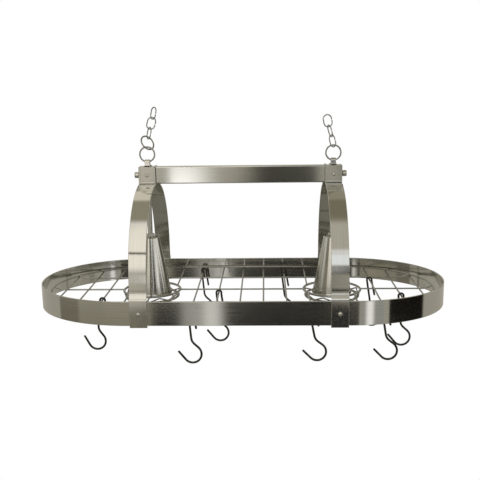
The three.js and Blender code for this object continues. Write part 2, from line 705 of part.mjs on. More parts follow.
// A flat run of hook in X and Z: a tight crown over the wire, a long stem, and a bowl
// whose tip points up and back.
function hookGeometry() {
  const outline = new THREE.Path();
  const crownZ = (GRID_WIRE + HOOK_WIRE) / 2 + GAP - HOOK_CROWN;
  const tipAngle = degrees(HOOK_TIP_ANGLE);
  outline.moveTo(HOOK_LIP_X, HOOK_LIP_Z);
  outline.lineTo(HOOK_CROWN, crownZ - HOOK_WIRE);
  outline.absarc(0, crownZ, HOOK_CROWN, 0, Math.PI, false);
  outline.lineTo(HOOK_STEM_X, HOOK_STEM_Z);
  outline.bezierCurveTo(HOOK_STEM_X / 2, HOOK_NECK_Z, HOOK_BOWL, HOOK_NECK_Z, HOOK_BOWL, HOOK_BOWL_Z);
  outline.absarc(0, HOOK_BOWL_Z, HOOK_BOWL, 0, tipAngle, true);
  const bowlEnd = outline.getPoint(1);
  const tip = new THREE.Vector2(Math.sin(tipAngle), -Math.cos(tipAngle)).multiplyScalar(HOOK_TIP);
  outline.lineTo(bowlEnd.x + tip.x, bowlEnd.y + tip.y);
  const drawn = outline.getPoints(4);
  const stations = drawn.filter((point, index) => !index || point.distanceTo(drawn[index - 1]) > GAP);
  return wire(stations.map(({ x, y }) => new THREE.Vector3(x, 0, y)), HOOK_WIRE);
}

function hooks() {
  for (const { name, crossWire, along, lean } of HOOKS) {
    const x = crossWire * GRID_PITCH;
    const mesh = add(name, hookGeometry(), dark());
    mesh.position.set(x, along * ovalDepthAt(x, GRID_LENGTH, GRID_DEPTH), CROSS_Z);
    mesh.rotation.y = degrees(lean);
  }
}

rimBand();
wireGrid();
crossbar();
tieRod();
for (const [name, side] of [["left", -1], ["right", 1]]) {
  const x = side * ARCH_X;
  arch(`arch_${name}`, x);
  rimScrew(`rim_screw_front_${name}`, x, -1);
  rimScrew(`rim_screw_back_${name}`, x, 1);
  rimNut(`rim_nut_front_${name}`, x, -1);
  rimNut(`rim_nut_back_${name}`, x, 1);
  lampGuard(`lamp_guard_${name}`, x);
  barBracket(`bar_bracket_${name}`, side);
  rodEnd(name, side);
  bracketScrew(`bracket_screw_${name}`, side);
  eyeStrap(`eye_strap_${name}`, x);
  lampShade(`lamp_shade_${name}`, x);
  lampStem(name, x);
}
chains();
hooks();

rack.position.z = -HANG_HEIGHT;
const part = new THREE.Group();
part.add(rack);

export default part;
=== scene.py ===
# A lit, hanging pot rack in brushed nickel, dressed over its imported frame.
# Sizes are in millimetres and heights count from the band's top edge, which hangs
# hangHeight below the frame's origin. toFrame() turns them into the frame's metres.
import math

import bpy
import numpy as np
from mathutils import Matrix


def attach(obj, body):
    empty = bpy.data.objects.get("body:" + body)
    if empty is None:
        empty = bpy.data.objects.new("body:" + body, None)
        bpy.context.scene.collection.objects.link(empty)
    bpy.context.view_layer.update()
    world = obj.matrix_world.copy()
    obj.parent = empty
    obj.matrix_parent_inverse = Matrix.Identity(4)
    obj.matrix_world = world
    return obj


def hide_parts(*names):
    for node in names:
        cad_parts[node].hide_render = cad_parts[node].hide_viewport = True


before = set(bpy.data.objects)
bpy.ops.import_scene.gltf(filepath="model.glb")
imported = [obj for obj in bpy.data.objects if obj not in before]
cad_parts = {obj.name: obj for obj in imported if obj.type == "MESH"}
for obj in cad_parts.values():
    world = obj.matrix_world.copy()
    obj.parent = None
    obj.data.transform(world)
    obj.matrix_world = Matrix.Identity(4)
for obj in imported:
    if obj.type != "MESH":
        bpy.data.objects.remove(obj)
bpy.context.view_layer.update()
print("frame loaded:", len(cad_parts), "nodes")

# Flat stock is strip thick, and neighbouring pieces stand gap apart.
rack = {"length": 850, "depth": 362, "hangHeight": 345, "archX": 192.5, "gap": 0.3, "strip": 3}
archX, gap, strip = rack["archX"], rack["gap"], rack["strip"]
quarterTurn = math.pi / 2


def toFrame(points):
    return (np.asarray(points, float) - (0, 0, rack["hangHeight"])) / 1000


# Faces between neighbouring points of a grid: point (i, j) joins (i+1, j), (i+1, j+1) and
# (i, j+1), wrapping where the surface closes. A pole closes an end with a fan of triangles.
def gridSurface(grid, wrapRows=False, wrapColumns=True, startPole=None, endPole=None):
    rows, columns = grid.shape[:2]
    i, j = np.mgrid[: rows if wrapRows else rows - 1, : columns if wrapColumns else columns - 1]
    cornerI = np.stack([i, i + 1, i + 1, i], -1).reshape(-1, 4)
    cornerJ = np.stack([j, j, j + 1, j + 1], -1).reshape(-1, 4)
    faces = ((cornerI % rows) * columns + cornerJ % columns).tolist()
    along = runLength(grid.mean(1), wrapRows)
    around = runLength(grid[rows // 2], True)
    uv = [np.stack([along[cornerI], around[cornerJ]], -1).reshape(-1, 2)]
    points = [grid.reshape(-1, 3)]
    for pole, row, turnOver in ((startPole, 0, True), (endPole, rows - 1, False)):
        if pole is None:
            continue
        centre = sum(len(p) for p in points)
        points.append(np.reshape(pole, (1, 3)))
        ring = np.arange(columns)
        following = (ring + 1) % columns
        order = [following, ring] if turnOver else [ring, following]
        fan = np.stack([np.full(columns, centre), row * columns + order[1], row * columns + order[0]], 1)
        faces += fan[:, ::-1].tolist()
        place = np.stack([np.full(columns, along[row]), around[:columns]], 1)
        uv.append(np.repeat(place, 3, 0))
    return np.concatenate(points), faces, np.concatenate(uv)


# Distance run along a chain of points, with the closing step at the end if it is closed.
def runLength(points, closed):
    chain = np.concatenate([points, points[:1]]) if closed else points
    steps = np.linalg.norm(np.diff(chain, axis=0), axis=1)
    return np.concatenate([[0], np.cumsum(steps)])


# A section carried along a flat path: point = path + a * normal + b * side, where side is
# square to both the path and its plane, and corners are mitred. scale swells or closes it.
def carrySection(path, normal, section, closed=False, scale=None):
    steps = np.diff(np.concatenate([path, path[:1]]) if closed else path, axis=0)
    steps /= np.linalg.norm(steps, axis=1, keepdims=True)
    before = np.roll(steps, 1, 0) if closed else np.concatenate([steps[:1], steps])
    after = steps if closed else np.concatenate([steps, steps[-1:]])
    tangent = before + after
    tangent /= np.linalg.norm(tangent, axis=1, keepdims=True)
    mitre = 1 / np.clip((tangent * after).sum(1), 0.7, 1)
    side = np.cross(normal, tangent) * mitre[:, None]
    size = np.ones(len(path)) if scale is None else np.asarray(scale, float)
    offset = section[None, :, :1] * np.asarray(normal, float) + section[None, :, 1:] * side[:, None]
    return path[:, None] + size[:, None, None] * offset


# Points at the angles: x = centre + radius cos a, y = centre + rise sin a.
def arcPoints(angle, radius, rise=None, centre=(0, 0)):
    rise = radius if rise is None else rise
    return np.stack([centre[0] + radius * np.cos(angle), centre[1] + rise * np.sin(angle)], 1)


def circleSection(radius, sides):
    return arcPoints(np.arange(sides) / sides * 4 * quarterTurn, radius)


# A rectangle whose corners are quarter circles, walked anticlockwise. A point on the flat
# beside each arc keeps the flat's shading flat.
def roundedSection(width, height, radius, cornerSteps=3, besideShare=0.2):
    quarter = arcPoints(np.linspace(0, quarterTurn, cornerSteps + 1), radius)
    beside = besideShare * min(radius, width / 2 - radius, height / 2 - radius)
    quarter = np.concatenate([[(radius, -beside)], quarter, [(-beside, radius)]])
    corners = []
    for turn, (a, b) in enumerate(((1, 1), (-1, 1), (-1, -1), (1, -1))):
        c, s = math.cos(turn * quarterTurn), math.sin(turn * quarterTurn)
        middle = np.array([a * (width / 2 - radius), b * (height / 2 - radius)])
        corners.append(middle + quarter @ np.array([[c, s], [-s, c]]))
    return np.concatenate(corners)


# A round wire on a flat path. Open ends are rounded off: the radius falls as a quarter
# circle over the last radius of the run.
def roundWire(path, normal, diameter, sides=14, closed=False, tipSteps=4):
    path = np.asarray(path, float)
    radius = diameter / 2
    if closed:
        return gridSurface(carrySection(path, normal, circleSection(radius, sides), True), True)
    fall = np.linspace(0, quarterTurn, tipSteps + 1)[:-1]
    tips = []
    for end, inner in ((path[0], path[1]), (path[-1], path[-2])):
        out = (end - inner) / np.linalg.norm(end - inner)
        tips.append(end + radius * (np.sin(fall)[:, None] - 1) * out)
    run = np.concatenate([tips[0][::-1], path[1:-1], tips[1]])
    scale = np.concatenate([np.cos(fall)[::-1], np.ones(len(path) - 2), np.cos(fall)])
    grid = carrySection(run, normal, circleSection(radius, sides), scale=scale)
    return gridSurface(grid, startPole=path[0], endPole=path[-1])


# A profile of (radius, height) turned about Z: x = r cos a, y = r sin a. Points on the axis
# become poles, and any other profile closes on itself.
def turnedSurface(profile, sides=48):
    profile = np.asarray(profile, float)
    poles = profile[:, 0] < 1e-6
    start = (0, 0, profile[0, 1]) if poles[0] else None
    end = (0, 0, profile[-1, 1]) if poles[-1] else None
    ring = profile[~poles]
    angle = np.arange(sides) / sides * 2 * math.pi
    turned = [ring[:, :1] * np.cos(angle), ring[:, :1] * np.sin(angle), np.repeat(ring[:, 1:], sides, 1)]
    grid = np.stack(turned, -1)
    points, faces, uv = gridSurface(grid, wrapRows=not poles.any(), startPole=start, endPole=end)
    return points, faces, uv[:, ::-1]


# A flat outline with straight sides: place() sets its points at a height.
def prismSurface(outline, low, high, place):
    outline = np.asarray(outline, float)
    count = len(outline)
    points = np.concatenate([place(outline, low), place(outline, high)])
    ring = np.arange(count)
    following = (ring + 1) % count
    faces = np.stack([ring, following, following + count, ring + count], 1).tolist()
    faces += [ring[::-1].tolist(), (ring + count).tolist()]
    along = runLength(outline, True)
    sides = np.stack([along[ring], along[ring + 1], along[ring + 1], along[ring]], 1)
    height = np.tile([0, 0, high - low, high - low], (count, 1))
    uv = [np.stack([sides, height], -1).reshape(-1, 2), outline[::-1], outline]
    return points, faces, np.concatenate(uv)


# A plate whose edge is a half circle all round: at angle a each side of its outline is
# drawn in by r (1 - cos a) and stands r sin a above the middle.
def bullnosePlate(width, depth, corner, low, high, steps=8):
    radius = (high - low) / 2
    rows = []
    for angle in np.linspace(-quarterTurn, quarterTurn, steps + 1):
        inset = 2 * radius * (1 - math.cos(angle))
        outline = roundedSection(width - inset, depth - inset, corner)
        rows.append(upright(outline, low + radius + radius * math.sin(angle)))
    return gridSurface(np.stack(rows), startPole=rows[0].mean(0), endPole=rows[-1].mean(0))


def upright(outline, height):
    return np.column_stack([outline, np.full(len(outline), height)])


def alongX(outline, x):
    return np.column_stack([np.full(len(outline), x), outline])


# The matrix of a turn about X, Y or Z (axis 0, 1 or 2).
def turnAbout(axis, degrees):
    c, s = math.cos(math.radians(degrees)), math.sin(math.radians(degrees))
    i, j = (axis + 1) % 3, (axis + 2) % 3
    matrix = np.eye(3)
    matrix[i, i] = matrix[j, j] = c
    matrix[i, j], matrix[j, i] = -s, s
    return matrix


# Turns and moves a surface: rotation matrix first, then the shift.
def placed(surface, shift=(0, 0, 0), rotation=None):
    points, faces, uv = surface
    if rotation is not None:
        points = points @ np.asarray(rotation).T
    return points + np.asarray(shift, float), faces, uv


def joined(*surfaces):
    counts = np.cumsum([0] + [len(s[0]) for s in surfaces[:-1]])
    faces = [[v + int(n) for v in face] for s, n in zip(surfaces, counts) for face in s[1]]
    return np.concatenate([s[0] for s in surfaces]), faces, np.concatenate([s[2] for s in surfaces])


# Six times the volume that faces enclose, negative where they point inwards.
def signedVolume(points, faces):
    corners = [(f[0], f[k], f[k + 1]) for f in faces for k in range(1, len(f) - 1)]
    a, b, c = (points[list(column)] for column in zip(*corners))
    return (np.cross(a, b) * c).sum()


# Faces that point inwards are turned over, corner by corner with their UVs.
def facingOut(surface):
    points, faces, uv = surface
    if signedVolume(points - points.mean(0), faces) >= 0:
        return surface
    ends = np.cumsum([len(face) for face in faces])
    order = [k for face, end in zip(faces, ends) for k in range(end - 1, end - len(face) - 1, -1)]
    return points, [face[::-1] for face in faces], uv[order]


# A new object whose mesh stands in the frame's place, with one UV map named run.
def meshObject(name, points, faces, uv, material):
    mesh = bpy.data.meshes.new(name)
    mesh.from_pydata(toFrame(points).tolist(), [], faces)
    mesh.uv_layers.new(name="run").data.foreach_set("uv", uv.astype(np.float32).ravel())
    mesh.materials.append(material)
    made = bpy.data.objects.new(name, mesh)
    bpy.context.scene.collection.objects.link(made)
    return made


# rim_screw_front_left becomes rimScrewFrontLeft.
def camelName(node):
    first, *others = node.split("_")
    return first + "".join(word.title() for word in others)


# Makes a finished piece and names it after the node that it stands for. Edges sharper than
# the angle stay crisp, the rest is smooth. UVs run in metres.
def addPiece(node, surfaces, material, slot, body="rack", sharp=34, bevel=0):
    points, faces, uv = joined(*[facingOut(s) for s in surfaces])
    piece = meshObject(camelName(node), points, faces, uv / 1000, material)
    piece.data.polygons.foreach_set("use_smooth", np.ones(len(faces), bool))
    piece.data.update()
    piece.data.set_sharp_from_angle(angle=math.radians(sharp))
    if bevel:
        edge = piece.modifiers.new("edge", "BEVEL")
        edge.width = bevel / 1000
        edge.segments = 2
        edge.limit_method = "ANGLE"
        edge.angle_limit = math.radians(40)
        edge.harden_normals = True
    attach(piece, body)
    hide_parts(node)


def toLinear(hexColour):
    srgb = np.array([int(hexColour[k : k + 2], 16) for k in (1, 3, 5)]) / 255
    linear = np.where(srgb <= 0.04045, srgb / 12.92, ((srgb + 0.055) / 1.055) ** 2.4)
    return (*linear.tolist(), 1.0)


# Adds a shader node with its settings, its sockets' values and the outputs that feed it.
def addNode(tree, kind, settings=None, values=None, links=None):
    node = tree.nodes.new("ShaderNode" + kind)
    for key, value in (settings or {}).items():
        setattr(node, key, value)
    for key, value in (values or {}).items():
        node.inputs[key].default_value = value
    for key, output in (links or {}).items():
        tree.links.new(output, node.inputs[key])
    return node


# A material whose shader starts with the stated values on its sockets.
def newMaterial(name, values=None):
    material = bpy.data.materials.new(name)
    material.use_nodes = True
    tree = material.node_tree
    tree.nodes.clear()
    shader = addNode(tree, "BsdfPrincipled", values=values)
    addNode(tree, "OutputMaterial", links={"Surface": shader.outputs["BSDF"]})
    return material, tree, shader


# Between two limits of the pattern the dark colour turns into the light one. A metal's
# pattern also spreads the roughness between its two values and raises a 0.2 mm bump.
def followPattern(tree, shader, pattern, look, start=0, end=1):
    ramp = addNode(tree, "ValToRGB", links={"Fac": pattern.outputs["Fac"]})
    dark, light = ramp.color_ramp.elements
    dark.position, light.position = start, end
    dark.color, light.color = toLinear(look["darkColour"]), toLinear(look["colour"])
    tree.links.new(ramp.outputs["Color"], shader.inputs["Base Color"])
    if "bump" not in look:
        return
    low, high = look["roughness"]
    limits = {"From Min": start, "From Max": end, "To Min": low, "To Max": high}
    spread = addNode(tree, "MapRange", values=limits, links={"Value": pattern.outputs["Fac"]})
    tree.links.new(spread.outputs["Result"], shader.inputs["Roughness"])
    height = {"Strength": look["bump"], "Distance": 0.0002}
    bump = addNode(tree, "Bump", values=height, links={"Height": pattern.outputs["Fac"]})
    tree.links.new(bump.outputs["Normal"], shader.inputs["Normal"])


# Brushed metal: scratches run along u. Long streaks change the colour a little and the
# roughness more, a fine bump breaks the gloss, and the reflection smears across them.
def brushedMetal(name, look):
    brushing = {"Metallic": 1, "Anisotropic": look["anisotropy"], "Anisotropic Rotation": 0.25}
    material, tree, shader = newMaterial(name, brushing)
    place = addNode(tree, "UVMap", {"uv_map": "run"})
    tangent = addNode(tree, "Tangent", {"direction_type": "UV_MAP", "uv_map": "run"})
    tree.links.new(tangent.outputs["Tangent"], shader.inputs["Tangent"])
    stretch = (1000 / look["streakLength"], 1000 / look["streakWidth"], 1)
    streakPlace = addNode(
        tree, "Mapping", values={"Scale": stretch}, links={"Vector": place.outputs["UV"]}
    )
    noise = {"Scale": 1, "Detail": 3, "Roughness": 0.6}
    streaks = addNode(tree, "TexNoise", values=noise, links={"Vector": streakPlace.outputs["Vector"]})
    followPattern(tree, shader, streaks, look, 0.3, 0.7)
    return material


# Plain metal: a soft mottle of the stated grain changes colour and roughness.
def plainMetal(name, look):
    material, tree, shader = newMaterial(name, {"Metallic": 1})
    place = addNode(tree, "TexCoord")
    noise = {"Scale": 1000 / look["grain"], "Detail": 3, "Roughness": 0.55}
    mottle = addNode(tree, "TexNoise", values=noise, links={"Vector": place.outputs["Object"]})
    followPattern(tree, shader, mottle, look, 0.35, 0.65)
    return material


# Moulded melamine: smooth, a little mottled, with the soft gloss of pressed resin.
def mouldedResin(name, look):
    material, tree, shader = newMaterial(name, {"IOR": 1.5, "Roughness": look["roughness"]})
    place = addNode(tree, "TexCoord")
    noise = {"Scale": 1000 / look["grain"], "Detail": 2, "Roughness": 0.5}
    mottle = addNode(tree, "TexNoise", values=noise, links={"Vector": place.outputs["Object"]})
    followPattern(tree, shader, mottle, look)
    return material


# Nickel plate brushed along the strip with a fine belt: 0.1 mm scratches, drawn 1.4 mm
# wide so that they show at all, in a warm grey.
brushedNickel = brushedMetal("brushedNickel", {
    "colour": "#cecdc7", "darkColour": "#c3c1ba", "roughness": (0.1, 0.14), "anisotropy": 0.85,
    "streakLength": 160, "streakWidth": 1.4, "bump": 0.05,
})
# The same plate on spun cones: the tool's rings run around them.
spunNickel = brushedMetal("spunNickel", {
    "colour": "#cecdc6", "darkColour": "#bebcb4", "roughness": (0.1, 0.15), "anisotropy": 0.85,
    "streakLength": 120, "streakWidth": 1.1, "bump": 0.15,
})
# Bright nickel on drawn wire: drawing leaves a faint mottle of about 3 mm.
platedWire = plainMetal("platedWire", {
    "colour": "#b3b3af", "darkColour": "#9a9a96", "roughness": (0.08, 0.15), "grain": 3, "bump": 0.1,
})
# Hooks of the same drawn wire, left darker: a painted dark reflection, with the colour lowered to stand in
# for the dark surroundings that the polished wire mirrors.
hookWirePaintedDarkReflection = plainMetal("hookWirePaintedDarkReflection", {
    "colour": "#575652", "darkColour": "#3c3b38", "roughness": (0.12, 0.2), "grain": 4, "bump": 0.1,
})
# Bright turned screws, nuts and washers.
turnedSteel = plainMetal("turnedSteel", {
    "colour": "#d6d3cc", "darkColour": "#c2bfb6", "roughness": (0.15, 0.22), "grain": 2, "bump": 0.05,
})
# Oiled dark steel of the tie rod and its end washers, duller than the nuts beside them.
darkSteel = plainMetal("darkSteel", {
    "colour": "#6d6a63", "darkColour": "#55524c", "roughness": (0.22, 0.3), "grain": 2, "bump": 0.05,
})
# Rolled brass of the lamp's screw shell, warm and a little dull from the rolls.
rolledBrass = plainMetal("rolledBrass", {
    "colour": "#c9a45c", "darkColour": "#b8934d", "roughness": (0.25, 0.35), "grain": 3, "bump": 0.05,
})
# Off-white resin of the lampholders, with a 6 mm mottle from the moulding powder.
holderResin = mouldedResin("holderResin", {
    "colour": "#e4e0d5", "darkColour": "#d9d4c7", "roughness": 0.35, "grain": 6,
})
print("materials ready")

oval = {"straight": 211, "power": 2.07, "steps": 120, "straightSteps": 25}
band = {"height": 48, "edge": 0.7}


# The oval: a straight run, then a superellipse end x = straight + reach cos^(2/p) a,
# y = half sin^(2/p) a. inset moves it inwards along its normal.
def ovalPath(length, depth, inset=0):
    reach, half, power = length / 2 - oval["straight"], depth / 2, 2 / oval["power"]
    angle = np.linspace(-quarterTurn, quarterTurn, oval["steps"] + 1)
    cosine, sine = np.clip(np.cos(angle), 0, 1), np.abs(np.sin(angle))
    sign = np.sign(np.sin(angle))
    edge = np.stack([oval["straight"] + reach * cosine**power, sign * half * sine**power], 1)
    normal = np.stack([cosine ** (2 - power) / reach, sign * sine ** (2 - power) / half], 1)
    normal /= np.linalg.norm(normal, axis=1, keepdims=True)
    right = edge - inset * normal
    straightX = np.linspace(-oval["straight"], oval["straight"], oval["straightSteps"] + 1)[1:-1]
    back = np.stack([straightX[::-1], np.full(len(straightX), half - inset)], 1)
    return np.concatenate([right, back, -right, -back])


stripSharp = 40  # degrees, so that the steps of a strip's rounded edge stay smooth
centreLine = ovalPath(rack["length"], rack["depth"], strip / 2)
bandPath = upright(centreLine, -band["height"] / 2)
bandSection = roundedSection(band["height"], strip, band["edge"])
bandGrid = carrySection(bandPath, (0, 0, 1), bandSection, closed=True)
addPiece("rim_band", [gridSurface(bandGrid, True)], brushedNickel, "brushed_nickel", sharp=stripSharp)
print("band made")

arch = {
    "width": 34, "top": 205, "power": 2.1, "foot": 20, "land": 16, "joggleTop": 14,
    "joggleBottom": 3.5, "overhang": 3, "bend": 3, "steps": 60, "edge": 0.6,
}
footY = rack["depth"] / 2 + gap + strip / 2


# Rounds the corners of an open path: each is replaced by a quadratic curve that starts and
# ends reach away from it, or less beside a short side. Corners under 10 degrees are left.
def softened(path, reach, steps=5, straight=0.985, mostOfSide=0.48):
    path = np.asarray(path, float)
    result = [path[0]]
    t = np.linspace(0, 1, steps)[:, None]
    for before, corner, after in zip(path[:-2], path[1:-1], path[2:]):
        into, out = before - corner, after - corner
        lengthIn, lengthOut = np.linalg.norm(into), np.linalg.norm(out)
        if (into @ out) / (lengthIn * lengthOut) < -straight:
            result.append(corner)
            continue
        a = corner + into / lengthIn * min(reach, lengthIn * mostOfSide)
        b = corner + out / lengthOut * min(reach, lengthOut * mostOfSide)
        result.extend((1 - t) ** 2 * a + 2 * t * (1 - t) * corner + t**2 * b)
    result.append(path[-1])
    return np.array(result)


# An arch's centre line in Y and Z: the foot, the joggle, then a superellipse
# y = leg cos^(2/p) a, z = foot + rise sin^(2/p) a, flat at the top.
def archPath():
    leg = rack["depth"] / 2 - 1.5 * strip
    rise = arch["top"] - strip / 2 - arch["foot"]
    angle = np.linspace(0, quarterTurn, arch["steps"], endpoint=False)
    y = leg * np.cos(angle) ** (2 / arch["power"])
    z = arch["foot"] + rise * np.sin(angle) ** (2 / arch["power"])
    curve = np.stack([y, z], 1)[y > arch["land"]]
    foot = [[footY, -band["height"] - arch["overhang"]], [footY, arch["joggleBottom"]]]
    crown = [[arch["land"], arch["top"] - strip / 2]]
    half = np.concatenate([foot, [[leg, arch["joggleTop"]]], curve, crown])
    whole = np.concatenate([half, half[::-1] * (-1, 1)])
    return softened(whole, arch["bend"])


sides = {"left": -1, "right": 1}
archSection = roundedSection(arch["width"], strip, arch["edge"])


# A strip whose flat lies along X, carried along a path in Y and Z and closed at both ends.
def strapSurface(path, section):
    rows = carrySection(alongX(path, 0), (1, 0, 0), section)
    return gridSurface(rows, startPole=rows[0].mean(0), endPole=rows[-1].mean(0))


# One piece for each arch, from surfaces made at X = 0. The seat's X counts outwards from
# the arch, and turns holds a rotation for each side.
def addPair(node, surfaces, material, slot, seat=(0, 0, 0), turns=None, **look):
    for side, sign in sides.items():
        shift = (sign * (archX + seat[0]), seat[1], seat[2])
        moved = [placed(s, shift, turns and turns[sign]) for s in surfaces]
        addPiece(f"{node}_{side}", moved, material, slot, **look)


arches = [strapSurface(archPath(), archSection)]
addPair("arch", arches, brushedNickel, "brushed_nickel", sharp=stripSharp)
print("arches made")

screw = {"radius": 2, "headRadius": 4.5, "headRise": 3.2, "nutFlats": 7, "nutThickness": 3}
turnY = {sign: turnAbout(0, -90 * sign) for sign in (-1, 1)}  # points a turned part's Z along Y


# A domed head, radius cos a out and rise sin a up, over a low rim, and its shank.
def screwSurface(radius, rise, shank, length, rim=0.25, undercut=0.3):
    dome = arcPoints(np.linspace(quarterTurn, 0, 9), radius, rise)[:-1]
    under = [[radius - undercut, 0], [shank, 0], [shank, -length], [0, -length]]
    return turnedSurface(np.concatenate([dome, [[radius, rim]], under]), 32)


# A hexagonal nut: its radius is half the flats over cos(a - 60 k). Both faces are trimmed to
# a circle, and the chamfer falls by a share of what it trims.
def nutSurface(flats, thickness, bore, sides=72, trim=1.03, chamferShare=0.6):
    angle = np.arange(sides) / sides * 2 * math.pi
    fromFlat = (angle + math.pi / 6) % (math.pi / 3) - math.pi / 6
    hexagon = flats / 2 / np.cos(fromFlat)
    circle = np.minimum(hexagon, flats / 2 * trim)
    corner = (hexagon - circle) * chamferShare
    hole, low = np.full(sides, float(bore)), np.zeros(sides)
    high = thickness + low
    rows = [(hole, low), (circle, low), (hexagon, corner)]
    rows += [(hexagon, thickness - corner), (circle, high), (hole, high)]
    rings = np.stack([np.column_stack([arcPoints(angle, r), z]) for r, z in rows])
    return gridSurface(rings, wrapRows=True)


# Lengthwise wires lie a layer under the cross wires, and those a layer under the oval wire,
# which stands sideGap and endGap inside the band.
grid = {
    "wire": 3.4, "pitch": 46.9, "layer": 3, "endGap": 20, "sideGap": 8.5, "lengthwiseY": 96,
    "bend": 16, "softBend": 6, "lampRing": 60, "lampRingWire": 5, "sides": 12, "ringSides": 16,
}
rimScrewZ = -band["height"] / 2
headSeat = footY + strip / 2 + gap
shankLength = headSeat - (rack["depth"] / 2 - grid["sideGap"] - grid["wire"])
nutSeat = rack["depth"] / 2 - strip - gap - screw["nutThickness"]
head = screwSurface(screw["headRadius"], screw["headRise"], screw["radius"], shankLength)
nut = nutSurface(screw["nutFlats"], screw["nutThickness"], screw["radius"] + gap)
for face, direction in {"front": -1, "back": 1}.items():
    seated = placed(head, (0, direction * headSeat, rimScrewZ), turnY[direction])
    addPair(f"rim_screw_{face}", [seated], turnedSteel, "bright_steel")
    seated = placed(nut, (0, direction * nutSeat, rimScrewZ), turnY[direction])
    addPair(f"rim_nut_{face}", [seated], turnedSteel, "brushed_nickel")

gridLength = rack["length"] - 2 * grid["endGap"]
gridDepth = rack["depth"] - 2 * grid["sideGap"]
ovalZ = rimScrewZ + screw["radius"] + gap + grid["wire"] / 2
crossZ = ovalZ - grid["layer"]
lengthwiseZ = ovalZ - 2 * grid["layer"]


# Half the oval wire's depth at x, and half its length at y, from the superellipse.
def halfDepthAt(x):
    along = max(abs(x) - oval["straight"], 0) / (gridLength / 2 - oval["straight"])
    return gridDepth / 2 * (1 - along ** oval["power"]) ** (1 / oval["power"])


def halfLengthAt(y):
    across, reach = abs(y) / (gridDepth / 2), gridLength / 2 - oval["straight"]
    return oval["straight"] + reach * (1 - across ** oval["power"]) ** (1 / oval["power"])


def straightWire(start, end, normal=(0, 0, 1), diameter=grid["wire"]):
    return roundWire(np.linspace(start, end, 4), normal, diameter, grid["sides"])


def slantedWire(start, end, diameter):
    normal = np.cross(end - start, (0, 0, 1))
    return straightWire(start, end, normal / np.linalg.norm(normal), diameter)


def circlePath(radius, count=96):
    return upright(circleSection(radius, count), 0)


def wireEnd(sign, y):
    end = halfLengthAt(y)
    return [(sign * (end - grid["bend"]), y, lengthwiseZ), (sign * end, y, ovalZ)]


def bentWire(stations):
    path = softened(stations, grid["softBend"])
    return roundWire(path, (0, 1, 0), grid["wire"], grid["sides"])


def lampRing(radius, x, z):
    path = circlePath(radius) + (x, 0, z)
    return roundWire(path, (0, 0, 1), grid["lampRingWire"], grid["ringSides"], closed=True)


edgePath = upright(ovalPath(gridLength, gridDepth), ovalZ)
wires = [roundWire(edgePath, (0, 0, 1), grid["wire"], grid["sides"], closed=True)]
last = int((gridLength / 2 - grid["wire"]) // grid["pitch"])
for x in grid["pitch"] * np.arange(-last, last + 1):
    end, fromLamp = halfDepthAt(x), abs(abs(x) - archX)
    runs = [(-end, end)]
    if fromLamp <= grid["lampRing"]:  # a wire that meets a lamp ring ends on it
        start = math.sqrt(grid["lampRing"] ** 2 - fromLamp**2)
        runs = [(-start, -end), (start, end)]
    wires += [straightWire((x, a, crossZ), (x, b, crossZ)) for a, b in runs]
for y in (-grid["lengthwiseY"], grid["lengthwiseY"]):
    wires.append(bentWire(wireEnd(-1, y)[::-1] + wireEnd(1, y)))
nearRing, farRing = archX - grid["lampRing"], archX + grid["lampRing"]
wires.append(straightWire((-nearRing, 0, lengthwiseZ), (nearRing, 0, lengthwiseZ)))
for sign in sides.values():
    wires.append(bentWire([(sign * farRing, 0, lengthwiseZ)] + wireEnd(sign, 0)))
    wires.append(lampRing(grid["lampRing"], sign * archX, lengthwiseZ))
addPiece("wire_grid", wires, platedWire, "bright_steel")
print("wire grid made")

# The guard's ring hangs drop below the grid, on stays that zig-zag up to the lamp ring.
guard = {"radius": 56, "drop": 13, "stay": 3, "waves": 8}
low = lengthwiseZ - guard["drop"]
high = lengthwiseZ - (grid["lampRingWire"] + guard["stay"]) / 2 - gap
turn = np.arange(2 * guard["waves"] + 1) * math.pi / guard["waves"]
odd = np.arange(len(turn)) % 2
radius = np.where(odd, grid["lampRing"], guard["radius"])
corners = np.column_stack([arcPoints(turn, radius), np.where(odd, high, low)])
stays = [slantedWire(a, b, guard["stay"]) for a, b in zip(corners[:-1], corners[1:])]
addPair("lamp_guard", [lampRing(guard["radius"], 0, low), *stays], platedWire, "bright_steel")

bar = {"height": 36, "depth": 16, "wall": 1.6, "corner": 2, "rise": 16.7}
bracket = {
    "length": 35, "depth": 26, "height": 34.2, "foot": 2.2, "footProud": 4, "footCorner": 1,
    "cheek": 3, "cheekProud": 1.5, "spigot": 12, "lip": 1.5, "lipRoot": 1, "corner": 0.4, "edge": 0.5,
}
barZ = arch["top"] + bar["rise"]
barEnd = archX - bracket["length"] / 2 - gap
bracketBase = arch["top"] + gap
bracketTop = bracketBase + bracket["height"]


# The bar's section drawn in by inset on each side.
def barSection(inset, corner):
    return roundedSection(bar["depth"] - 2 * inset, bar["height"] - 2 * inset, corner) + (0, barZ)


outerBar = barSection(0, bar["corner"])
innerBar = barSection(bar["wall"], bar["corner"] - bar["wall"])
barRows = [(outerBar, -barEnd), (outerBar, barEnd), (innerBar, barEnd), (innerBar, -barEnd)]
barGrid = np.stack([alongX(section, x) for section, x in barRows])
addPiece("crossbar", [gridSurface(barGrid, True)], brushedNickel, "brushed_nickel", sharp=stripSharp)


def blockOutline():
    end, half = bracket["length"] / 2, bracket["depth"] / 2
    proud = half + bracket["cheekProud"]
    quarter = [(end, proud), (end - bracket["cheek"], proud), (end - bracket["cheek"], half)]
    front = quarter + [(-x, y) for x, y in reversed(quarter)]
    return np.array(front + [(-x, -y) for x, y in front])


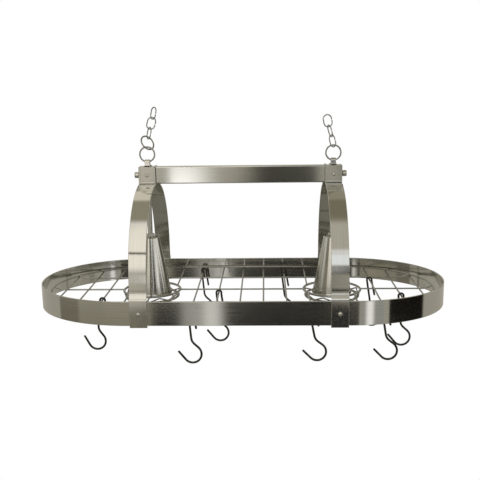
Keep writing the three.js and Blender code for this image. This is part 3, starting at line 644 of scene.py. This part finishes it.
# A bracket at X = 0 with the bar on its left: the block, its foot plate, the spigot inside
# the bar and the lip over the inner cheek.
def bracketShapes():
    block = prismSurface(blockOutline(), bracketBase, bracketTop, upright)
    footDepth, footTop = bracket["depth"] + 2 * bracket["footProud"], bracketBase + bracket["foot"]
    foot = bullnosePlate(bracket["length"], footDepth, bracket["footCorner"], bracketBase, footTop)
    spigotSection = barSection(bar["wall"] + gap, bracket["corner"])
    inner = -bracket["length"] / 2
    spigot = prismSurface(spigotSection, inner - bracket["spigot"], inner + bracket["cheek"], alongX)
    lipDepth = bracket["depth"] + 2 * bracket["cheekProud"]
    lipSection = roundedSection(bracket["cheek"], lipDepth, bracket["corner"])
    lipSection += (inner + bracket["cheek"] / 2, 0)
    lip = prismSurface(lipSection, bracketTop - bracket["lipRoot"], bracketTop + bracket["lip"], upright)
    return block, foot, spigot, lip


addPair(
    "bar_bracket", bracketShapes(), brushedNickel, "brushed_nickel",
    turns={1: None, -1: turnAbout(2, 180)}, bevel=bracket["edge"],
)

cap = {
    "radius": 6.4, "length": 8, "depth": 6.6, "rod": 6, "domeRadius": 1.8, "domeRise": 2.8,
    "rimInset": 0.4, "rimRise": 0.5, "washer": 1.6, "washerEdge": 0.3,
}
plateScrew = {"headRadius": 3.6, "headRise": 2.4}
turnX = {sign: turnAbout(1, 90 * sign) for sign in (-1, 1)}  # points a turned part's Z along X
hole = cap["rod"] / 2 + gap
radius, thickness, edge = cap["radius"], cap["washer"], cap["washerEdge"]
outside = [(radius - edge, 0), (radius, edge), (radius, thickness - edge), (radius - edge, thickness)]
washer = turnedSurface([(hole, 0), *outside, (hole, thickness)])
# The nut: a blind bore, a small rim at the seat, and a stretched quarter circle for a dome.
middle = (radius - cap["domeRadius"], cap["length"] - cap["domeRise"])
dome = arcPoints(np.linspace(0, quarterTurn, 7), cap["domeRadius"], cap["domeRise"], middle)
bore = [(0, cap["depth"]), (hole, cap["depth"]), (hole, 0)]
rim = [(radius - cap["rimInset"], 0), (radius, cap["rimRise"])]
nut = turnedSurface(np.concatenate([bore, rim, dome, [(0, cap["length"])]]))
face = bracket["length"] / 2 + gap
nutFace = face + cap["washer"] + gap
addPair("cap_washer", [washer], darkSteel, "dark_bright_steel", (face, 0, barZ), turnX)
addPair("cap_nut", [nut], turnedSteel, "dark_bright_steel", (nutFace, 0, barZ), turnX)
shank = bracket["depth"] / 2 - cap["rod"] / 2 - 4 * gap
head = screwSurface(plateScrew["headRadius"], plateScrew["headRise"], screw["radius"], shank)
head = placed(head, (0, -bracket["depth"] / 2 - gap, barZ), turnY[-1])
addPair("bracket_screw", [head], turnedSteel, "bright_steel")
print("crossbar and brackets made")

# An omega-shaped strap: legs leg apart from the middle, feet out to foot. Its feet sink
# a hair into the pads, so that no two faces lie in one plane.
eye = {
    "width": 10.5, "strip": 2, "leg": 4.2, "foot": 10.5, "footWidth": 15, "rise": 9.35,
    "sink": 0.06, "bend": 1.6, "edge": 0.5, "padCorner": 1,
}
ring = {"radius": 15.35, "wire": 3.3, "steps": 72, "sides": 16}
eyeBase = bracketTop + gap
ringZ = eyeBase + eye["rise"] + ring["radius"]
curvedUp = ring["radius"] - math.sqrt(ring["radius"] ** 2 - (eye["width"] / 2) ** 2)
crownZ = eyeBase + eye["rise"] + ring["wire"] / 2 + curvedUp + gap + eye["strip"] / 2 - eye["leg"]
arc = arcPoints(np.linspace(0, math.pi, 25), eye["leg"], centre=(0, crownZ))
footZ = eyeBase + eye["strip"] / 2 - eye["sink"]
ends = np.array([[eye["foot"], footZ], [eye["leg"], footZ]])
eyePath = softened(np.concatenate([ends, arc, (ends * (-1, 1))[::-1]]), eye["bend"])
eyeStrap = strapSurface(eyePath, roundedSection(eye["width"], eye["strip"], eye["edge"]))
pad = roundedSection(eye["footWidth"], eye["foot"] - eye["leg"] - eye["strip"], eye["padCorner"])
pad = prismSurface(pad, eyeBase, eyeBase + eye["strip"], upright)
padY = (eye["foot"] + eye["leg"] + eye["strip"]) / 2
shapes = [eyeStrap, placed(pad, (0, -padY, 0)), placed(pad, (0, padY, 0))]
addPair("eye_strap", shapes, brushedNickel, "brushed_nickel", sharp=stripSharp)

shade = {
    "top": 90, "height": 122, "topRadius": 18, "mouth": 42, "slope": 0.189, "wall": 1.2,
    "lip": 6, "bevel": 1.5, "innerBevel": 0.6, "bevelSteps": 6, "sides": 128,
}
stem = {"radius": 5.3, "bore": 3.6, "inBracket": 8.5, "inShade": 17}
holder = {"radius": 15, "bore": 13.3, "length": 46.5, "floor": 3, "rimEdge": 0.4, "topEdge": 1.2}
shell = {
    "length": 24, "wall": 0.6, "inset": 2, "pitch": 3.6, "thread": 0.35, "fade": 1.5,
    "steps": 56, "sides": 48,
}
lampNut = {"flats": 17, "shade": 5, "holder": 4, "lock": 3}
lampWasher = {"radius": 12.5, "thickness": 1.2, "edge": 0.3, "sides": 64}
stemHole = stem["radius"] + gap
shadeBottom = shade["top"] - shade["height"]
shadeInside = shade["top"] - shade["wall"]


def shadeRadius(z):
    return shade["topRadius"] + shade["slope"] * (shade["top"] - z)


# The cone's outer line: a rounded shoulder, the straight slope, and a mouth that flares
# as the square of the way down the lip. The inner line follows it a wall inside.
def shadeProfile():
    top, bevel, steps = shade["top"], shade["bevel"], shade["bevelSteps"]
    middle = (shadeRadius(top - bevel) - bevel, top - bevel)
    shoulder = arcPoints(np.linspace(quarterTurn, 0, steps), bevel, centre=middle)
    lipZ = shadeBottom + shade["lip"]
    slope = np.linspace(top - 2 * bevel, lipZ, 12)
    flare = np.linspace(lipZ, shadeBottom, 8)[1:]
    down = (lipZ - flare) / shade["lip"]
    extra = (shade["mouth"] - shadeRadius(shadeBottom)) * down**2
    outer = np.concatenate([
        [[stemHole, top]], shoulder,
        np.stack([shadeRadius(slope), slope], 1),
        np.stack([shadeRadius(flare) + extra, flare], 1),
    ])
    belowShoulder = outer[:steps:-1] - (shade["wall"], 0)
    innerTop = shadeRadius(shadeInside) - shade["wall"] - shade["innerBevel"]
    return np.concatenate([outer, belowShoulder, [[innerTop, shadeInside], [stemHole, shadeInside]]])


# A rolled screw shell: radius = r + depth * sin(2 pi (z / pitch) - a), a thread that climbs
# and fades out at both ends.
def threadedShell():
    z = np.linspace(0, shell["length"], shell["steps"])
    angle = np.arange(shell["sides"]) / shell["sides"] * 2 * math.pi
    outer = holder["bore"] - gap - shell["thread"]
    wave = shell["thread"] * np.sin(2 * math.pi * z[:, None] / shell["pitch"] - angle)
    fade = np.clip(np.minimum(z, shell["length"] - z) / shell["fade"], 0, 1)[:, None]
    radius = outer + wave * fade
    rows = []
    for r, height in ((radius, z), (radius[::-1] - shell["wall"], z[::-1])):
        heights = np.repeat(height[:, None], shell["sides"], 1)
        rows.append(np.stack([r * np.cos(angle), r * np.sin(angle), heights], -1))
    return gridSurface(np.concatenate(rows), wrapRows=True)


holderTop = shadeInside - gap
holderFloor = holderTop - holder["floor"]
holderMouth = holderTop - holder["length"]


def lampHexagon(thickness):
    return nutSurface(lampNut["flats"], thickness, stemHole)


washerZ = shade["top"] + gap
shadeNutZ = washerZ + lampWasher["thickness"] + gap
locknutZ = arch["top"] - strip - gap - lampNut["lock"]
holderNutZ = holderFloor - gap - lampNut["holder"]
bottom, top = shade["top"] - stem["inShade"], arch["top"] + stem["inBracket"]
bore, radius = stem["bore"], stem["radius"]
tube = turnedSurface([(bore, bottom), (radius, bottom), (radius, top), (bore, top)])
radius, thickness, edge = lampWasher["radius"], lampWasher["thickness"], lampWasher["edge"]
outside = [(radius, 0), (radius, thickness - edge), (radius - edge, thickness)]
washer = turnedSurface([(stemHole, 0), *outside, (stemHole, thickness)], lampWasher["sides"])
# The holder: a cup that hangs from its floor, chamfered at the mouth and on top.
radius, bore, rim, edge = (holder[key] for key in ("radius", "bore", "rimEdge", "topEdge"))
cup = turnedSurface([
    (stemHole, holderTop), (stemHole, holderFloor), (bore, holderFloor),
    (bore, holderMouth + rim), (bore + rim, holderMouth),
    (radius - rim, holderMouth), (radius, holderMouth + rim),
    (radius, holderTop - edge), (radius - edge, holderTop),
])
cone = turnedSurface(shadeProfile(), shade["sides"])
addPair("lamp_shade", [cone], spunNickel, "brushed_nickel", sharp=stripSharp)
for node, shape, z, material, slot in (
    ("lamp_stem", tube, 0, spunNickel, "brushed_nickel"),
    ("shade_washer", washer, washerZ, turnedSteel, "brushed_nickel"),
    ("shade_nut", lampHexagon(lampNut["shade"]), shadeNutZ, turnedSteel, "brushed_nickel"),
    ("arch_locknut", lampHexagon(lampNut["lock"]), locknutZ, turnedSteel, "brushed_nickel"),
    ("holder_nut", lampHexagon(lampNut["holder"]), holderNutZ, rolledBrass, "brass"),
    ("lamp_holder", cup, 0, holderResin, "moulded_holder"),
    ("screw_shell", threadedShell(), holderMouth + shell["inset"], rolledBrass, "brass"),
):
    addPair(node, [shape], material, slot, (0, 0, z))
print("lamps made")

link = {"wire": 2.5, "length": 24.7, "radius": 8.5, "seam": 0.5, "play": 1, "steps": 22}
# Node, shape, and its lean, tilt and twist in degrees, from the eye strap up.
chains = {
    "left": [
        ("strap_ring_left", "ring", (0, 0, 0)),
        ("chain_ring_left", "ring", (2, -44, 41)),
        ("chain_link_left_1", "link", (14, 4, -58)),
        ("chain_link_left_2", "link", (16, 0, 22)),
        ("chain_link_left_3", "link", (12, 0, -48)),
    ],
    "right": [
        ("strap_ring_right", "ring", (0, 0, 0)),
        ("chain_link_right_1", "link", (-14, 0, 46)),
        ("chain_link_right_2", "link", (-15, 0, -72)),
        ("chain_link_right_3", "link", (-12, 0, 8)),
    ],
}


# Turns about Z by twist, then about X by tilt, then about Y by lean.
def hangingTurn(lean, tilt=0, twist=0):
    return turnAbout(1, lean) @ turnAbout(0, tilt) @ turnAbout(2, twist)


# A link's centre line in X and Z: two straight sides and two half circles, open by a hair
# in the middle of one side.
def linkPath():
    bow = arcPoints(np.linspace(0, math.pi, link["steps"]), link["radius"])
    rise = link["length"] / 2 - link["radius"]
    start, end = [[link["radius"], link["seam"] / 2]], [[link["radius"], -link["seam"] / 2]]
    return inXZ(np.concatenate([start, bow + (0, rise), -bow - (0, rise), end]))


def inXZ(points):
    return np.column_stack([points[:, 0], 0 * points[:, 0], points[:, 1]])


ringShape = circlePath(ring["radius"], ring["steps"])[:, [0, 2, 1]]
ringShape = roundWire(ringShape, (0, 1, 0), ring["wire"], ring["sides"], closed=True)
shapes = {
    "ring": (ringShape, 2 * ring["radius"], ring["wire"]),
    "link": (roundWire(linkPath(), (0, 1, 0), link["wire"]), link["length"], link["wire"]),
}
for side, sign in sides.items():
    top, below = None, ring["wire"]
    for node, kind, turn in chains[side]:
        surface, length, wire = shapes[kind]
        rotation = hangingTurn(*turn)
        up = rotation @ (0, 0, 1)
        if top is None:
            middle = np.array([sign * archX, 0, ringZ])
        else:
            middle = top + up * (length / 2 - (wire + below) / 2 - link["play"])
        top, below = middle + up * length / 2, wire
        addPiece(node, [placed(surface, middle, rotation)], platedWire, "bright_steel", body=node)
print("chains made")

hook = {
    "wire": 4.4, "crown": 5.2, "lipX": 9.2, "lipZ": -38, "stemX": -1.5, "stemZ": -55,
    "neckZ": -72, "bowl": 17.5, "bowlZ": -89, "tip": 23, "tipAngle": -142, "sides": 16,
}
# Which cross wire, the place along it from -1 at the front to 1 at the back, and the lean.
hookPlaces = {
    "front_1": (-6, -0.55, 10), "front_2": (-2, -0.94, -1), "front_3": (3, -0.88, -7),
    "front_4": (6, -0.9, -6), "middle_1": (-1, -0.2, -1), "middle_2": (7, -0.45, -2),
    "back_1": (-2, 0.91, -1), "back_2": (2, 0.841, -3), "back_3": (6, 0.4, -5),
}


# A hook's centre line in X and Z: short leg, crown over the wire, long leg, a cubic neck,
# the bowl's arc, and the straight tip that points up and back.
def hookPath():
    crownCentre = (grid["wire"] + hook["wire"]) / 2 + gap - hook["crown"]
    crown = arcPoints(np.linspace(0, math.pi, 20), hook["crown"], centre=(0, crownCentre))
    t = np.linspace(0, 1, 24)[:, None]
    a, b = np.array([(hook["stemX"], hook["stemZ"]), (hook["stemX"] / 2, hook["neckZ"])])
    c, d = np.array([(hook["bowl"], hook["neckZ"]), (hook["bowl"], hook["bowlZ"])])
    neck = (1 - t) ** 3 * a + 3 * t * (1 - t) ** 2 * b + 3 * t**2 * (1 - t) * c + t**3 * d
    tipAngle = math.radians(hook["tipAngle"])
    bowl = arcPoints(np.linspace(0, tipAngle, 32)[1:], hook["bowl"], centre=(0, hook["bowlZ"]))
    tip = bowl[-1] + hook["tip"] * np.array([math.sin(tipAngle), -math.cos(tipAngle)])
    legs = [[(hook["lipX"], hook["lipZ"])], [(hook["crown"], crownCentre - hook["wire"])]]
    return inXZ(np.concatenate([*legs, crown, neck, bowl, [tip]]))


hookShape = roundWire(hookPath(), (0, 1, 0), hook["wire"], hook["sides"])
for label, (number, along, lean) in hookPlaces.items():
    x = number * grid["pitch"]
    seat = (x, along * halfDepthAt(x), crossZ)
    node = f"pot_hook_{label}"
    # The hooks take the darkened wire, whose colour holds a painted dark reflection.
    addPiece(node, [placed(hookShape, seat, hangingTurn(lean))], hookWirePaintedDarkReflection, "dark_bright_steel", body=node)
print("hooks made")

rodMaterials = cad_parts["tie_rod"].data.materials
rodMaterials.clear()
rodMaterials.append(darkSteel)

studio = {
    "floorZ": -1155, "floorSpan": 6000, "floorColour": "#e8e7e3", "floorRoughness": 0.9,
    "fillColour": "#f2f1ee", "fillStrength": 0.75,
}
plainWhite = {"Color": (1, 1, 1, 1), "Strength": 1}


# Camera, glossy and transmission rays see the plain white background. Other rays see the
# surface itself, so the floor keeps its shading for them.
def seesBackground(tree):
    path = addNode(tree, "LightPath")
    seen = path.outputs["Is Camera Ray"]
    for ray in ("Is Glossy Ray", "Is Transmission Ray"):
        both = {0: seen, 1: path.outputs[ray]}
        seen = addNode(tree, "Math", {"operation": "MAXIMUM"}, links=both).outputs[0]
    return seen


# Puts a shader in place of the material's own at its output.
def shownAs(tree, surface):
    output = next(node for node in tree.nodes if node.type == "OUTPUT_MATERIAL")
    tree.links.new(surface.outputs["Shader"], output.inputs["Surface"])


world = bpy.data.worlds.new("studioWorld")
bpy.context.scene.world = world
world.use_nodes = True
world.cycles.sampling_method = "NONE"  # reflections find it by themselves, without grain
tree = world.node_tree
tree.nodes.clear()
fillLight = {"Color": toLinear(studio["fillColour"]), "Strength": studio["fillStrength"]}
fill = addNode(tree, "Background", values=fillLight).outputs[0]
white = addNode(tree, "Background", values=plainWhite).outputs[0]
sky = addNode(tree, "MixShader", links={"Fac": seesBackground(tree), 1: fill, 2: white})
addNode(tree, "OutputWorld", links={"Surface": sky.outputs["Shader"]})

paint = {"Base Color": toLinear(studio["floorColour"]), "Roughness": studio["floorRoughness"]}
floorMaterial, tree, shader = newMaterial("paleFloor", paint)
white = addNode(tree, "Emission", values=plainWhite).outputs[0]
shading = {"Fac": seesBackground(tree), 1: shader.outputs["BSDF"], 2: white}
shownAs(tree, addNode(tree, "MixShader", links=shading))
corners = np.array([(-1, -1), (1, -1), (1, 1), (-1, 1)])
floorPoints = upright(studio["floorSpan"] * corners, studio["floorZ"])
floor = meshObject("floor", floorPoints, [(0, 1, 2, 3)], corners, floorMaterial)

# Flags and reflectors stand round the rack, and only reflections see them. A wall card spans
# turns to the right of straight ahead and elevations above the rack, in degrees. Then come
# its colour and strength, and the degrees over which its left, right, lower and upper edges
# fade. Later cards stand nearer, and nearCards at their own distance in mm.
wallCards = {
    "room": ((-180, 180), (-75, 8), "#b6b2a6", 1, (0, 0, 0, 6)),
    "upperRoom": ((24, 336), (8, 66), "#b3af9f", 1, (6, 6, 5, 8)),
    "shadeBrown": ((-66, -20), (2, 14), "#8a8477", 1, (5, 2, 2, 3)),
    "shadeDark": ((-11, 8.6), (3, 15), "#0c0b0a", 1, (2, 0.6, 1.5, 2)),
    "shadeLight": ((38, 108), (0, 13), "#ffffff", 1.25, (3, 3, 2, 2)),
    "shadeEdge": ((117, 172), (-10, 14), "#5c5a51", 1, (4, 8, 4, 4)),
    "leftGlow": ((-40, -13.3), (-12.6, 14), "#d2cdc1", 1, (8, 0.4, 0.6, 6)),
    "leftRoom": ((-87, -13), (-62, -12.2), "#95907f", 1, (1, 0.2, 3, 3)),
    "leftCorner": ((-87, -60), (-62, -10), "#7f7a6a", 1, (1, 4, 3, 3)),
    "ahead": ((-13.6, 20), (-62, -12.6), "#2e2e2c", 1, (0.4, 1, 2, 0.6)),
    "aheadLeft": ((-13.6, -10.6), (-62, -12.6), "#0b0b0a", 1, (0.4, 0.4, 2, 0.6)),
    "footDark": ((7, 14), (-14, -11.4), "#2e2c26", 1, (1, 1, 0.3, 0.6)),
    "aheadUpper": ((-4, 9.6), (-12.6, 6), "#44433d", 1, (6, 1, 1, 4)),
    "doorLight": ((19.5, 42), (-45, 5), "#a9aaa6", 1, (4, 2, 4, 6)),
    "doorCore": ((24, 34), (-45, 5), "#ffffff", 1.25, (4, 4, 4, 6)),
    "shadeDarkRight": ((12, 29), (2, 13), "#0c0b0a", 1, (0.6, 2, 1.5, 2)),
    "rightDoor": ((49.7, 80), (-17.5, 8), "#1b1916", 1, (0.6, 2, 1, 3)),
    "windowLow": ((-10.6, -3.9), (-45, -9), "#b4b3ae", 1, (1.2, 0.2, 4, 3)),
    "windowBars": ((-7.4, -4.6), (-30, -9), "#fbfbf6", 1, (1, 0.4, 8, 3)),
    "window": ((-13.1, -4.4), (-6.5, 5), "#ffffff", 2, (0.4, 6.5, 2, 3)),
    "leftSky": ((-34, 2), (3, 72), "#fffaf0", 1.3, (6, 4, 10, 3)),
    "beam": ((-60, 2), (25, 28), "#55534c", 1, (10, 3, 0.6, 0.6)),
    "sky": ((5, 17), (12, 25), "#f4fbff", 1.3, (2, 2, 2, 2)),
    "rightUpper": ((4, 40), (28, 74), "#c9c5b8", 1, (4, 4, 4, 2)),
}
nearCards = {"rightDoor": 760}
# A flat card spans x and y at its height, in mm. Then come its colour and the shares of its
# width and depth over which its left, right, near and far edges fade.
flatCards = {
    "tableTop": ((-2200, 2200), (-1400, 1400), -800, "#858278", (0.1, 0.1, 0.1, 0.1)),
    "ceiling": ((-1200, 1400), (-820, 1400), 1700, "#a8a38f", (0.2, 0.2, 0.15, 0.2)),
    "ceilingLight": ((-1100, -150), (380, 1500), 1680, "#f3eddd", (0.2, 0.2, 0.2, 0.1)),
    "ceilingDark": ((120, 900), (-900, 560), 1660, "#8b8572", (0.2, 0.3, 0.4, 0.15)),
}


# Rises from 0 to 1 over soft at the start of a coordinate and falls so before its end.
def feather(tree, coordinate, soft):
    fades = []
    for start, width in ((0, soft[0]), (1, -soft[1])):
        if not width:
            continue
        fade = addNode(
            tree, "MapRange", {"interpolation_type": "SMOOTHSTEP"},
            {"From Min": start, "From Max": start + width, "To Min": 0, "To Max": 1}, {"Value": coordinate},
        )
        fades.append(fade.outputs["Result"])
    return fades


# A card glows in its colour where the product of its fades is 1 and is clear where it is 0.
def addCard(name, rows, colour, strength, soft):
    points, faces, uv = gridSurface(rows, wrapColumns=False)
    across, up = np.meshgrid(np.linspace(0, 1, rows.shape[1]), np.linspace(0, 1, rows.shape[0]))
    spread = np.stack([across, up], -1).reshape(-1, 2)[np.concatenate([np.array(f) for f in faces])]
    material, tree, shader = newMaterial(name)
    material.cycles.emission_sampling = "NONE"
    place = addNode(tree, "UVMap", {"uv_map": "run"})
    parts = addNode(tree, "SeparateXYZ", links={"Vector": place.outputs["UV"]})
    mask = None
    for fade in feather(tree, parts.outputs["X"], soft[:2]) + feather(tree, parts.outputs["Y"], soft[2:]):
        both = {0: fade} if mask is None else {0: fade, 1: mask}
        mask = addNode(tree, "Math", {"operation": "MULTIPLY"}, {1: 1.0}, both).outputs[0]
    clear = addNode(tree, "BsdfTransparent").outputs[0]
    light = {"Color": toLinear(colour), "Strength": strength}
    glow = addNode(tree, "Emission", values=light).outputs[0]
    shownAs(tree, addNode(tree, "MixShader", links={"Fac": mask, 1: clear, 2: glow}))
    flag = meshObject(name, points, faces, spread, material)
    flag.visible_camera = flag.visible_diffuse = flag.visible_shadow = flag.visible_transmission = False


wall = {"distance": 2300, "step": 40, "columns": 61, "rows": 31}
for number, (name, (turns, rises, colour, strength, soft)) in enumerate(wallCards.items()):
    distance = nearCards.get(name, wall["distance"] - wall["step"] * number)
    turn = np.radians(np.linspace(*turns, wall["columns"]))
    heights = distance * np.tan(np.radians(np.linspace(*rises, wall["rows"])))
    ground = distance * np.stack([np.sin(turn), -np.cos(turn)], 1)
    spans = [np.ptp(turns)] * 2 + [np.ptp(rises)] * 2
    shares = [float(edge / span) for edge, span in zip(soft, spans)]
    addCard(name, np.stack([upright(ground, z) for z in heights]), colour, strength, shares)
for name, ((west, east), (near, far), z, colour, soft) in flatCards.items():
    rows = np.array([[(west, near, z), (east, near, z)], [(west, far, z), (east, far, z)]], float)
    addCard(name, rows, colour, 1, soft)

# The camera fitted to the photo: its place in mm, its turns in degrees, and its focal length
# in pixels of a picture 480 wide. At rest it looks along -Z with Y up.
view = {
    "place": (52.28, -1513.0, 400.1), "yaw": -2.062648, "pitch": 11.877415, "roll": -0.786098,
    "focal": 730.4, "picture": 480,
}
camera = bpy.data.cameras.new("camera")
camera.lens = view["focal"] * camera.sensor_width / view["picture"]
camera.clip_end = 50
aimed = turnAbout(2, -view["yaw"]) @ turnAbout(0, 90 - view["pitch"]) @ turnAbout(2, view["roll"])
cameraObject = bpy.data.objects.new("camera", camera)
bpy.context.scene.collection.objects.link(cameraObject)
pose = np.column_stack([aimed, toFrame(view["place"])])
cameraObject.matrix_world = Matrix([*pose.tolist(), (0, 0, 0, 1)])
bpy.context.scene.camera = cameraObject
bpy.context.scene.view_settings.view_transform = "Standard"
print("stage set")
